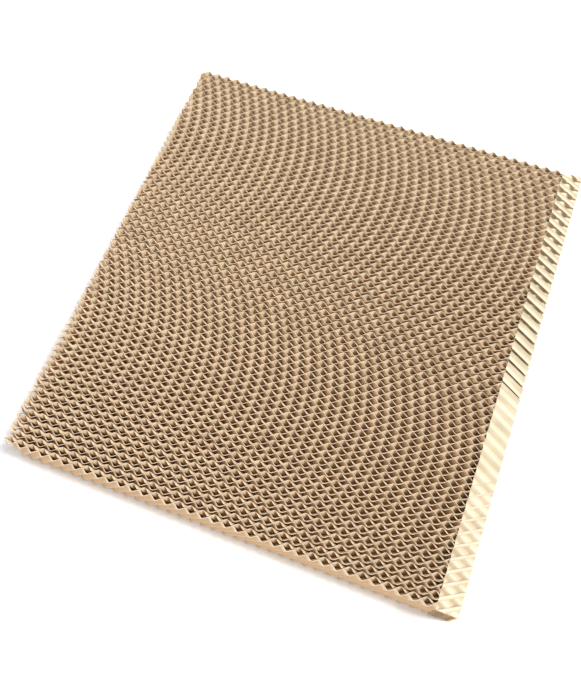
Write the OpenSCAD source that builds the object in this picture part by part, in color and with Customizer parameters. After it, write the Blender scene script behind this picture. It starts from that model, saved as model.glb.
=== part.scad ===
// Evaporative cooling pad: a stack of corrugated paper sheets standing on edge,
// glued crest to crest, with a narrow band of the same sheets laid flat across their right-hand ends.
// Millimetres, +Z up. The pad lies on its lower air face, with the origin under its middle.
// X runs along the sheets, Y goes from the front sheet to the back one, Z is the way the air flows.

/* [Pad] */
// Length of the standing sheets
sheet_length = 392; // [100:2:1200]
// Thickness of the pad, from one air face to the other
pad_depth = 50; // [30:5:200]
// Number of standing sheets in the stack
sheet_count = 63; // [5:2:151]

/* [Corrugation] */
// Height of one flute, which is also the spacing of the sheets
flute_height = 7; // [4:0.5:12]
// Length of one wave, measured along a cut edge of the sheet
flute_pitch = 10.8; // [7:0.1:30]
// Lean of the flutes, one way on even sheets and the other way on odd ones
flute_lean = 30; // [5:0.5:45]
// Thickness of the paper
paper = 0.3; // [0.2:0.05:1]
// Film of glue left between two sheets
bond = 0.1; // [0.05:0.05:0.3]
// Step of the waves from one standing sheet to the next, as a share of one wave
step = 0.45; // [0:0.01:1]
// Change of that step over the stack, because each sheet is laid as it comes
growth = -0.015; // [-0.1:0.001:0.1]

/* [Edge band] */
// Width of the band of flat sheets at the right-hand end
band_width = 19; // [10:1:60]
// Tilt of the flat sheets from the air faces, up towards the back
band_tilt = 0.9; // [0.1:0.1:1.5]
// Height left of the uppermost flat sheet at the front corner, where the upper cut runs through it
band_rest = 2.4; // [0.6:0.1:3]
// Place of the waves of every other flat sheet along the band, as a share of one wave
band_place = 0.37; // [0:0.01:1]
// Least height of a crest that is still left on the next sheet
band_least = 0.6; // [0.4:0.1:2]

/* [Hidden] */
pad_width = sheet_count * flute_height;
pad_front = -pad_width / 2;
pad_length = sheet_length + bond + band_width;
sheet_left = -pad_length / 2;
sheet_right = sheet_left + sheet_length;
sheet_middle = (sheet_left + sheet_right) / 2;
band_left = sheet_right + bond;
band_middle = band_left + band_width / 2;
wave = flute_pitch * cos(flute_lean);
edge = paper / cos(atan(2 * flute_height / wave));
swing = (flute_height - edge - bond) / 2;
extra = 1;
run = sheet_length / 2 * sin(flute_lean) + pad_depth + flute_pitch;
sheet_waves = ceil((sheet_length / 2 + pad_depth * tan(flute_lean)) / flute_pitch) + 1;
quarter = ceil(sheet_count / 4);
rise = tan(band_tilt);
band_run = pad_width / 2 * sin(flute_lean) + band_width + flute_pitch;
band_waves = ceil((pad_width / 2 + band_width * tan(flute_lean)) / flute_pitch) + 1;
band_last = floor((pad_depth - band_rest + pad_width * rise - band_least) / flute_height);

// Position of a standing sheet's middle across the stack
function sheet_at(k) = pad_front + (k + 0.5) * flute_height;

// Place of a standing sheet's waves along it, as a share of one wave
function shift(k) = (step + growth * k) * k - floor((step + growth * k) * k);

// Cross-section of a corrugated sheet, from one half wave to another, with crests at even ones
module corrugation(first, last) {
  polygon(concat(
    [for (i = [first : last]) [i * wave / 2, (i % 2 == 0 ? swing : -swing) + edge / 2]],
    [for (i = [last : -1 : first]) [i * wave / 2, (i % 2 == 0 ? swing : -swing) - edge / 2]]
  ));
}

// One standing sheet with its flutes leaning in X, its waves placed at the upper air face
module standing_sheet(k) {
  translate([sheet_middle + shift(k) * flute_pitch, sheet_at(k), pad_depth])
    rotate([0, k % 2 == 0 ? flute_lean : -flute_lean, 0])
      translate([0, 0, -run])
        linear_extrude(2 * run)
          corrugation(-2 * sheet_waves, 2 * sheet_waves);
}

// The sheets of one quarter of the stack that lean the same way, cut to the pad's size
module sheets(part, odd) {
  first = part * quarter;
  last = min(first + quarter, sheet_count) - 1;
  intersection() {
    translate([sheet_left, pad_front - extra, 0])
      cube([sheet_length, pad_width + 2 * extra, pad_depth]);
    union() {
      for (k = [first : last])
        if (k % 2 == odd)
          standing_sheet(k);
    }
  }
}

module right_leaning_sheets_front() {
  color([0.80, 0.66, 0.46]) sheets(0, 0);
}

module left_leaning_sheets_front() {
  color([0.76, 0.62, 0.43]) sheets(0, 1);
}

module right_leaning_sheets_mid_front() {
  color([0.80, 0.66, 0.46]) sheets(1, 0);
}

module left_leaning_sheets_mid_front() {
  color([0.76, 0.62, 0.43]) sheets(1, 1);
}

module right_leaning_sheets_mid_back() {
  color([0.80, 0.66, 0.46]) sheets(2, 0);
}

module left_leaning_sheets_mid_back() {
  color([0.76, 0.62, 0.43]) sheets(2, 1);
}

module right_leaning_sheets_back() {
  color([0.80, 0.66, 0.46]) sheets(3, 0);
}

module left_leaning_sheets_back() {
  color([0.76, 0.62, 0.43]) sheets(3, 1);
}

// Height of a flat sheet's middle at the middle of the band, counted from the top down
function band_at(i) = pad_depth - band_rest - (i + 0.5) * flute_height + pad_width / 2 * rise;

// Place of a flat sheet's waves along the band, as a share of one wave
function place(i) = i % 2 == 0 ? 0 : band_place;

// First and last half wave of a flat sheet that the cuts leave standing high enough
function band_from(i) = max(-2 * band_waves,
  2 * ceil((band_least - band_at(i) - flute_height / 2) / rise / flute_pitch - place(i)) - 1);
function band_to(i) = min(2 * band_waves,
  2 * floor((pad_depth - band_least - band_at(i) + flute_height / 2) / rise / flute_pitch - place(i) - 0.5) + 2);

// One flat sheet with its flutes leaning in Y
module flat_sheet(i) {
  translate([band_middle, 0, band_at(i)])
    rotate([band_tilt, 0, 0])
      rotate([0, 0, i % 2 == 0 ? -flute_lean : flute_lean])
        rotate([90, 0, 90])
          translate([0, 0, -band_run])
            linear_extrude(2 * band_run)
              translate([place(i) * wave, 0])
                corrugation(band_from(i), band_to(i));
}

// The flat sheets from one to another, cut to the band's size by the same cuts as the standing sheets
module flat_sheets(first, last) {
  intersection() {
    translate([band_left, pad_front, 0])
      cube([band_width, pad_width, pad_depth]);
    union() {
      for (i = [first : last])
        flat_sheet(i);
    }
  }
}

// The flat sheets, whole in the middle and cut open by the air faces where they reach them
module band_sheets() {
  color([0.95, 0.88, 0.74]) flat_sheets(0, band_last);
}

// Crests of one more flat sheet, left near the front by the cut of the upper air face
module band_strips() {
  color([0.97, 0.91, 0.78]) flat_sheets(-1, -1);
}

right_leaning_sheets_front();
left_leaning_sheets_front();
right_leaning_sheets_mid_front();
left_leaning_sheets_mid_front();
right_leaning_sheets_mid_back();
left_leaning_sheets_mid_back();
right_leaning_sheets_back();
left_leaning_sheets_back();
band_sheets();
band_strips();
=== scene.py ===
"""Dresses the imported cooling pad: corrugated sheets of kraft paper, edge band, floor, lamp and camera."""
import math

import bmesh
import bpy
from bpy.props import FloatProperty, FloatVectorProperty, IntProperty, PointerProperty
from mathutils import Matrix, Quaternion, Vector


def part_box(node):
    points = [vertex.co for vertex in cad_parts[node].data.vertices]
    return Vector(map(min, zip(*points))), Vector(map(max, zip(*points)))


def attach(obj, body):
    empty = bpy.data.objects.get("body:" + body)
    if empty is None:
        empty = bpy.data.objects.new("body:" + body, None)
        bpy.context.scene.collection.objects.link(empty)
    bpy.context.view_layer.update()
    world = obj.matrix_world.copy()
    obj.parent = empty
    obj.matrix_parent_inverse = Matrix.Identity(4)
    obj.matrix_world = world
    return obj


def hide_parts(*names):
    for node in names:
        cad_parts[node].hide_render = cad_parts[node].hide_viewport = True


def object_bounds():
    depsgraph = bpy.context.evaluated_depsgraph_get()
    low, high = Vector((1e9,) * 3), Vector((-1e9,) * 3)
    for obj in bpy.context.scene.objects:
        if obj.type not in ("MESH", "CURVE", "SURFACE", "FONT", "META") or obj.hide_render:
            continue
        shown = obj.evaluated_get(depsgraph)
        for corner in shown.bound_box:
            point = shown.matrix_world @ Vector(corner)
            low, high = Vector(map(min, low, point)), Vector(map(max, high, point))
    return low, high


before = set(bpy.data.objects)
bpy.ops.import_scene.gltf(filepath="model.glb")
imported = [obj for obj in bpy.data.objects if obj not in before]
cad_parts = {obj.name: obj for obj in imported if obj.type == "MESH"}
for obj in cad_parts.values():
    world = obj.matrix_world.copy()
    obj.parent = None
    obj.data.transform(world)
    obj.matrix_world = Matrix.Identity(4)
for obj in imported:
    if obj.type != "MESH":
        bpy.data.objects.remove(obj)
CAD_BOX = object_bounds()
BAND_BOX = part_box("band_sheets")

bl_info = {
    "name": "Evaporative cooling pad",
    "version": (1, 0, 0),
    "blender": (4, 5, 0),
    "location": "View3D > Sidebar > Cooling pad",
    "description": "Builds the corrugated sheets and the edge band of a cooling pad around its packed solids",
    "category": "Object",
}

# Names of the four quarters of the stack, as in the solids' nodes
QUARTERS = ("front", "mid_front", "mid_back", "back")
# Film of glue between two sheets, and segments in the rounding of a crest
BOND = 0.0001
CREST_SEGMENTS = 3
# Last flat sheet of the edge band, counted from the top down
BAND_LAST = 14
# Edges that turn by more than this stay sharp
SHARP_ANGLE = math.radians(40)
# Depth of the duller cut edge, and the depths below the top where the painted shade in the flutes starts and
# where it is darkest
CUT_DEPTH = (0.0001, 0.0009)
SHADE_DEPTH = (0.0005, 0.007)
# Shares of the paper's colour: darkest and palest mottling, painted shade down in the flutes, cut edge
DARK_MOTTLE = (0.86, 0.83, 0.78)
PALE_MOTTLE = (1.08, 1.08, 1.06)
FLUTE_PAINTED_SHADE = (0.74, 0.59, 0.46)
CUT_EDGE = (0.72, 0.72, 0.72)
# Side and height of the lamp as seen from the pad
LAMP_AZIMUTH = math.radians(15)
LAMP_ELEVATION = math.radians(58)
# Camera that takes the photograph's view
CAMERA_PLACE = (0.1107, -0.2944, 0.6853)
CAMERA_AIM = (-0.16250, 0.35517, -0.92057)
CAMERA_ROLL = math.radians(-4)
CAMERA_LENS = 47.06
SENSOR_WIDTH = 36


class PadSizes(bpy.types.PropertyGroup):
    """Sizes of the corrugated paper: two sheets, each half as high, for each row of the solids."""

    pitch: FloatProperty(name="Wave", description="Length of one wave along a cut edge",
                         default=0.0108, subtype="DISTANCE", unit="LENGTH", precision=5)
    height: FloatProperty(name="Flute height", description="Height of one flute, and the sheets' spacing",
                          default=0.0035, subtype="DISTANCE", unit="LENGTH", precision=5)
    lean: FloatProperty(name="Lean", description="Lean of the flutes, one way and then the other",
                        default=math.radians(30), subtype="ANGLE", unit="ROTATION")
    paper: FloatProperty(name="Paper", description="Thickness of the paper",
                         default=0.0003, subtype="DISTANCE", unit="LENGTH", precision=5)
    rounding: FloatProperty(name="Rounding", description="Width of the rounding on each side of a crest",
                            default=0.0017, subtype="DISTANCE", unit="LENGTH", precision=5)
    count: IntProperty(name="Standing sheets", description="Number of standing sheets", default=126, min=2)
    step: FloatProperty(name="Step",
                        description="Step of the waves from row to row, in waves", default=0.45)
    growth: FloatProperty(name="Growth", description="Change of that step over the stack", default=-0.015)
    pair: FloatProperty(name="Pair",
                        description="Step between the two sheets of a row, in waves", default=0.33)
    tilt: FloatProperty(name="Band tilt", description="Tilt of the band's flat sheets, up towards the back",
                        default=math.radians(0.45), subtype="ANGLE", unit="ROTATION")
    rest: FloatProperty(name="Band rest",
                        description="Height left of the uppermost flat sheet at the front",
                        default=0.0012, subtype="DISTANCE", unit="LENGTH", precision=5)
    least: FloatProperty(name="Least crest", description="Least height of a crest that is left",
                         default=0.0004, subtype="DISTANCE", unit="LENGTH", precision=5)
    place: FloatProperty(name="Band place",
                         description="Place of the waves of every other flat sheet, in waves",
                         default=0.37)
    waver: FloatProperty(name="Waver", description="How far the paper strays from its true shape",
                         default=0.00012, subtype="DISTANCE", unit="LENGTH", precision=5)


class PadLooks(bpy.types.PropertyGroup):
    """Colours of the papers and the floor."""

    right_paper: FloatVectorProperty(name="Right-leaning paper",
                                     description="Colour of the right-leaning sheets",
                                     default=(0.83, 0.70, 0.52), subtype="COLOR", size=3, min=0, max=1)
    left_paper: FloatVectorProperty(name="Left-leaning paper",
                                    description="Colour of the left-leaning sheets",
                                    default=(0.81, 0.67, 0.49), subtype="COLOR", size=3, min=0, max=1)
    band_paper: FloatVectorProperty(name="Band paper", description="Colour of the edge band",
                                    default=(0.70, 0.62, 0.47), subtype="COLOR", size=3, min=0, max=1)
    floor: FloatVectorProperty(name="Floor", description="Colour of the floor",
                               default=(0.95, 0.95, 0.95), subtype="COLOR", size=3, min=0, max=1)


def take(*objects):
    """Selects these objects only, with the first one active."""
    if bpy.context.object and bpy.context.object.mode != "OBJECT":
        bpy.ops.object.mode_set(mode="OBJECT")
    bpy.ops.object.select_all(action="DESELECT")
    for o in objects:
        o.select_set(True)
    bpy.context.view_layer.objects.active = objects[0]


def pick(test):
    """Selects the vertices of the mesh in edit mode that pass the test, and nothing else."""
    mesh = bmesh.from_edit_mesh(bpy.context.object.data)
    for v in mesh.verts:
        v.select_set(test(v.co))
    mesh.select_flush_mode()
    bmesh.update_edit_mesh(bpy.context.object.data)


def crest_rise(s):
    """Half height of the sharp wave that has the flute's own height once its crests are rounded."""
    rounded = (s.height - s.paper - BOND) / 2
    sharp = rounded
    for _ in range(8):
        half = math.atan(s.pitch * math.cos(s.lean) / 4 / sharp)
        sharp = rounded + s.rounding * (1 / math.cos(half) - math.tan(half))
    return sharp


def corrugated_blank(name, s, low, high, level, lean, first, last):
    """A rounded corrugated sheet with its waves along X and its flutes up Z, leaning about a level."""
    bpy.ops.mesh.primitive_grid_add(x_subdivisions=2, y_subdivisions=1, size=1,
                                    rotation=(math.pi / 2, 0, 0))
    blank = bpy.context.object
    blank.name = name
    take(blank)
    bpy.ops.object.transform_apply(location=True, rotation=True, scale=True)
    bpy.ops.object.mode_set(mode="EDIT")
    bpy.ops.mesh.select_all(action="SELECT")
    bpy.ops.transform.resize(value=(s.pitch, 1, high - low))
    bpy.ops.transform.translate(value=(0, -crest_rise(s), (low + high) / 2))
    pick(lambda co: abs(co.x) < 1e-6)
    bpy.ops.transform.translate(value=(0, 2 * crest_rise(s), 0))
    for z in (low, high):
        pick(lambda co: abs(co.z - z) < 1e-5)
        bpy.ops.transform.translate(value=((z - level) * math.tan(lean), 0, 0))
    bpy.ops.mesh.select_all(action="SELECT")
    bpy.ops.transform.translate(value=(first * s.pitch, 0, 0))
    bpy.ops.object.mode_set(mode="OBJECT")
    array = blank.modifiers.new("Waves", "ARRAY")
    array.use_relative_offset = False
    array.use_constant_offset = True
    array.constant_offset_displace = (s.pitch, 0, 0)
    array.count = last - first + 1
    array.use_merge_vertices = True
    array.merge_threshold = 1e-5
    bpy.ops.object.modifier_apply(modifier=array.name)
    bpy.ops.object.mode_set(mode="EDIT")
    bpy.ops.mesh.select_mode(type="EDGE")
    mesh = bmesh.from_edit_mesh(blank.data)
    for e in mesh.edges:
        e.select_set(not e.is_boundary and abs(e.verts[0].co.z - e.verts[1].co.z) > 1e-4)
    bmesh.update_edit_mesh(blank.data)
    bpy.ops.mesh.bevel(offset=s.rounding, segments=CREST_SEGMENTS, profile=0.5, affect="EDGES")
    bpy.ops.mesh.select_mode(type="VERT")
    bpy.ops.object.mode_set(mode="OBJECT")
    return blank


def copy_at(blank, place, turn=(0, 0, 0)):
    """A copy of a blank with a mesh of its own, put in its place."""
    copy = blank.copy()
    copy.data = blank.data.copy()
    bpy.context.collection.objects.link(copy)
    copy.rotation_euler = turn
    copy.location = place
    take(copy)
    bpy.ops.object.transform_apply(location=True, rotation=True, scale=True)
    return copy


def trim(low, high):
    """Cuts the mesh in edit mode to a box, where the saw has cut the pad."""
    for axis in range(3):
        for end, corner in ((-1, low), (1, high)):
            if corner[axis] is None:
                continue
            normal = Vector((0, 0, 0))
            normal[axis] = end
            at = Vector((0, 0, 0))
            at[axis] = corner[axis]
            bpy.ops.mesh.select_all(action="SELECT")
            bpy.ops.mesh.bisect(plane_co=at, plane_no=normal, clear_outer=True)


def finish_sheets(name, sheets, low, high, node, material, seed):
    """Joins the copies, trims them, gives the paper its thickness and ties the piece to the frame."""
    s = bpy.context.scene.pad_sizes
    take(*sheets)
    if len(sheets) > 1:
        bpy.ops.object.join()
    piece = bpy.context.object
    piece.name = name
    bpy.ops.object.mode_set(mode="EDIT")
    trim(low, high)
    bpy.ops.mesh.select_all(action="SELECT")
    bpy.ops.transform.vertex_random(offset=s.waver, seed=seed)
    bpy.ops.object.mode_set(mode="OBJECT")
    wall = piece.modifiers.new("Paper", "SOLIDIFY")
    wall.thickness = s.paper
    wall.offset = 0
    wall.use_even_offset = True
    bpy.ops.object.modifier_apply(modifier=wall.name)
    bpy.ops.object.shade_smooth_by_angle(angle=SHARP_ANGLE)
    piece.data.materials.clear()
    piece.data.materials.append(material)
    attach(piece, "root")
    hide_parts(node)
    return piece


def tinted(colour, shares):
    """A colour with each channel taken at its share, and full opacity."""
    return (*(min(1, c * share) for c, share in zip(colour, shares)), 1)


def kraft_paper(name, colour, top):
    """Resin-stiffened kraft paper: mottled, fibrous, darkened down in the flutes by painted shade, and duller
    at the cut edge.
    """
    m = bpy.data.materials.new(name)
    m.use_nodes = True
    tree = m.node_tree
    new = tree.nodes.new
    link = tree.links.new
    shader = tree.nodes["Principled BSDF"]
    shader.inputs["Roughness"].default_value = 0.78
    shader.inputs["Specular IOR Level"].default_value = 0.3
    where = new("ShaderNodeTexCoord")
    mottle = new("ShaderNodeTexNoise")
    mottle.inputs["Scale"].default_value = 60
    mottle.inputs["Detail"].default_value = 3
    link(where.outputs["Object"], mottle.inputs["Vector"])
    stretch = new("ShaderNodeMapping")
    stretch.inputs["Scale"].default_value = (1.0, 1.0, 0.25)
    link(where.outputs["Object"], stretch.inputs["Vector"])
    fibres = new("ShaderNodeTexNoise")
    fibres.inputs["Scale"].default_value = 1500
    fibres.inputs["Detail"].default_value = 4
    fibres.inputs["Roughness"].default_value = 0.65
    link(stretch.outputs["Vector"], fibres.inputs["Vector"])
    tone = new("ShaderNodeValToRGB")
    tone.color_ramp.elements[0].position = 0.3
    tone.color_ramp.elements[1].position = 0.72
    tone.color_ramp.elements[0].color = tinted(colour, DARK_MOTTLE)
    tone.color_ramp.elements[1].color = tinted(colour, PALE_MOTTLE)
    link(mottle.outputs["Fac"], tone.inputs["Fac"])
    fleck = new("ShaderNodeMix")
    fleck.data_type = "RGBA"
    fleck.blend_type = "OVERLAY"
    fleck.inputs["Factor"].default_value = 0.35
    link(tone.outputs["Color"], fleck.inputs["A"])
    grey = new("ShaderNodeRGBToBW")
    link(fibres.outputs["Color"], grey.inputs["Color"])
    link(grey.outputs["Val"], fleck.inputs["B"])
    axes = new("ShaderNodeSeparateXYZ")
    link(where.outputs["Object"], axes.inputs["Vector"])
    cut = new("ShaderNodeMapRange")
    cut.interpolation_type = "SMOOTHSTEP"
    cut.inputs["From Min"].default_value = top - CUT_DEPTH[1]
    cut.inputs["From Max"].default_value = top - CUT_DEPTH[0]
    link(axes.outputs["Z"], cut.inputs["Value"])
    share = new("ShaderNodeMath")
    share.operation = "MULTIPLY"
    share.inputs[1].default_value = 0.5
    link(cut.outputs["Result"], share.inputs[0])
    edge = new("ShaderNodeMix")
    edge.data_type = "RGBA"
    edge.inputs["B"].default_value = tinted(colour, CUT_EDGE)
    link(share.outputs["Value"], edge.inputs["Factor"])
    # Painted shade: the colour darkens with depth below the top of the pad, standing in for the shade down in
    # the flutes
    painted_shade_mask = new("ShaderNodeMapRange")
    painted_shade_mask.interpolation_type = "SMOOTHSTEP"
    painted_shade_mask.inputs["From Min"].default_value = top - SHADE_DEPTH[1]
    painted_shade_mask.inputs["From Max"].default_value = top - SHADE_DEPTH[0]
    painted_shade_mask.inputs["To Min"].default_value = 1.0
    painted_shade_mask.inputs["To Max"].default_value = 0.0
    link(axes.outputs["Z"], painted_shade_mask.inputs["Value"])
    painted_shade = new("ShaderNodeMix")
    painted_shade.data_type = "RGBA"
    painted_shade.inputs["B"].default_value = tinted(colour, FLUTE_PAINTED_SHADE)
    link(painted_shade_mask.outputs["Result"], painted_shade.inputs["Factor"])
    link(fleck.outputs["Result"], painted_shade.inputs["A"])
    link(painted_shade.outputs["Result"], edge.inputs["A"])
    link(edge.outputs["Result"], shader.inputs["Base Color"])
    bump = new("ShaderNodeBump")
    bump.inputs["Strength"].default_value = 0.35
    bump.inputs["Distance"].default_value = 0.0001
    link(fibres.outputs["Fac"], bump.inputs["Height"])
    link(bump.outputs["Normal"], shader.inputs["Normal"])
    return m


def standing_sheets(side, odd, lean, colour):
    """The standing sheets that lean one way, as one piece for each quarter of the stack."""
    s = bpy.context.scene.pad_sizes
    top = CAD_BOX[1][2]
    left = CAD_BOX[0][0]
    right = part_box(side + "_leaning_sheets_front")[1][0]
    middle = (left + right) / 2
    waves = math.ceil(((right - left) / 2 + top * math.tan(s.lean)) / s.pitch) + 2
    blank = corrugated_blank(side + "_blank", s, 0, top, top, lean, -waves, waves)
    material = kraft_paper(side + "_leaning_paper", colour, top)
    quarter = math.ceil(s.count / len(QUARTERS))
    for q, part in enumerate(QUARTERS):
        copies = []
        for k in range(q * quarter, min(q * quarter + quarter, s.count)):
            if k % 2 == odd:
                row = k // 2
                shift = ((s.step + s.growth * row) * row + s.pair * odd) % 1
                y = (k + 0.5 - s.count / 2) * s.height
                copies.append(copy_at(blank, (middle + shift * s.pitch, y, 0)))
        node = side + "_leaning_sheets_" + part
        finish_sheets(node + "_paper", copies, (left, None, None), (right, None, None),
                      node, material, 10 * q + odd)
    bpy.data.objects.remove(blank)


def flat_sheets(name, first, last, node, seed, colour):
    """The flat sheets of the edge band from one to another, counted from the top down."""
    s = bpy.context.scene.pad_sizes
    low, high = Vector(BAND_BOX[0]), Vector(BAND_BOX[1])
    front, top = low.y, CAD_BOX[1][2]
    half = (high.x - low.x) / 2
    rise = math.tan(s.tilt)
    most = math.ceil((-front + 2 * half) / s.pitch) + 2
    copies = []
    for i in range(first, last + 1):
        at = top - s.rest - (i + 0.5) * s.height - front * rise
        place = 0 if i % 2 == 0 else s.place
        start = math.ceil((s.least - at - s.height / 2) / rise / s.pitch - place)
        end = math.floor((top - s.least - at + s.height / 2) / rise / s.pitch - place - 0.5) + 1
        lean = -s.lean if i % 2 == 0 else s.lean
        blank = corrugated_blank("band_blank", s, -half, half, 0, lean, max(start, -most), min(end, most))
        bpy.ops.object.mode_set(mode="EDIT")
        bpy.ops.mesh.select_all(action="SELECT")
        bpy.ops.transform.translate(value=(place * s.pitch, 0, 0))
        bpy.ops.object.mode_set(mode="OBJECT")
        copies.append(copy_at(blank, ((low.x + high.x) / 2, 0, at), (math.pi / 2, -s.tilt, math.pi / 2)))
        bpy.data.objects.remove(blank)
    material = kraft_paper(name, colour, top)
    finish_sheets(name, copies, low, high, node, material, seed)


class PAD_OT_right_sheets(bpy.types.Operator):
    """Makes the right-leaning standing sheets"""

    bl_idname = "pad.right_sheets"
    bl_label = "Right-leaning sheets"

    def execute(self, context):
        standing_sheets("right", 0, context.scene.pad_sizes.lean, context.scene.pad_looks.right_paper)
        return {"FINISHED"}


class PAD_OT_left_sheets(bpy.types.Operator):
    """Makes the left-leaning standing sheets"""

    bl_idname = "pad.left_sheets"
    bl_label = "Left-leaning sheets"

    def execute(self, context):
        standing_sheets("left", 1, -context.scene.pad_sizes.lean, context.scene.pad_looks.left_paper)
        return {"FINISHED"}


class PAD_OT_band_sheets(bpy.types.Operator):
    """Makes the flat sheets of the edge band"""

    bl_idname = "pad.band_sheets"
    bl_label = "Edge band"

    def execute(self, context):
        flat_sheets("band_sheets_paper", 0, BAND_LAST, "band_sheets", 3, context.scene.pad_looks.band_paper)
        return {"FINISHED"}


class PAD_OT_band_strips(bpy.types.Operator):
    """Makes the crests that are left of one more flat sheet"""

    bl_idname = "pad.band_strips"
    bl_label = "Edge band strips"

    def execute(self, context):
        flat_sheets("band_strips_paper", -1, -1, "band_strips", 4, context.scene.pad_looks.band_paper)
        return {"FINISHED"}


class PAD_OT_stage(bpy.types.Operator):
    """Sets up the floor, the lamp and the camera"""

    bl_idname = "pad.stage"
    bl_label = "Stage"

    def execute(self, context):
        scene = context.scene
        bpy.ops.object.select_all(action="DESELECT")
        bpy.ops.mesh.primitive_plane_add(size=8, location=(0, 0, -0.0005))
        floor = context.object
        floor.name = "floor"
        bpy.ops.object.transform_apply(location=True)
        m = bpy.data.materials.new("pale_floor")
        m.use_nodes = True
        shader = m.node_tree.nodes["Principled BSDF"]
        shader.inputs["Base Color"].default_value = (*scene.pad_looks.floor, 1)
        shader.inputs["Roughness"].default_value = 0.9
        floor.data.materials.append(m)
        bpy.ops.object.light_add(type="SUN", location=(0, 0, 2))
        sun = context.object
        sun.name = "soft_key"
        sun.data.energy = 3.9
        sun.data.angle = math.radians(12)
        toward = Vector((math.cos(LAMP_AZIMUTH), math.sin(LAMP_AZIMUTH), math.tan(LAMP_ELEVATION)))
        sun.rotation_mode = "QUATERNION"
        sun.rotation_quaternion = toward.to_track_quat("Z", "Y")
        world = bpy.data.worlds.new("studio")
        world.use_nodes = True
        back = world.node_tree.nodes["Background"]
        back.inputs["Color"].default_value = (1, 1, 1, 1)
        back.inputs["Strength"].default_value = 0.75
        scene.world = world
        bpy.ops.object.camera_add(location=CAMERA_PLACE)
        camera = context.object
        camera.data.sensor_fit = "HORIZONTAL"
        camera.data.sensor_width = SENSOR_WIDTH
        camera.data.lens = CAMERA_LENS
        camera.data.clip_start = 0.02
        level = Vector(CAMERA_AIM).to_track_quat("-Z", "Y")
        camera.rotation_mode = "QUATERNION"
        camera.rotation_quaternion = level @ Quaternion((0, 0, 1), CAMERA_ROLL)
        scene.camera = camera
        scene.view_settings.view_transform = "Standard"
        return {"FINISHED"}


class PAD_PT_panel(bpy.types.Panel):
    """Lists the pad's sizes, colours and steps"""

    bl_label = "Cooling pad"
    bl_idname = "PAD_PT_panel"
    bl_space_type = "VIEW_3D"
    bl_region_type = "UI"
    bl_category = "Cooling pad"

    def draw(self, context):
        for group in (context.scene.pad_sizes, context.scene.pad_looks):
            for name in group.__annotations__:
                self.layout.prop(group, name)
        for step in STEPS:
            self.layout.operator(step.bl_idname)


STEPS = (PAD_OT_right_sheets, PAD_OT_left_sheets, PAD_OT_band_sheets, PAD_OT_band_strips, PAD_OT_stage)
CLASSES = (PadSizes, PadLooks, *STEPS, PAD_PT_panel)


def register():
    for c in CLASSES:
        bpy.utils.register_class(c)
    bpy.types.Scene.pad_sizes = PointerProperty(type=PadSizes)
    bpy.types.Scene.pad_looks = PointerProperty(type=PadLooks)


def unregister():
    del bpy.types.Scene.pad_looks
    del bpy.types.Scene.pad_sizes
    for c in reversed(CLASSES):
        bpy.utils.unregister_class(c)


def main():
    register()
    bpy.ops.pad.right_sheets()
    bpy.ops.pad.left_sheets()
    bpy.ops.pad.band_sheets()
    bpy.ops.pad.band_strips()
    bpy.ops.pad.stage()


if __name__ == "__main__":
    main()
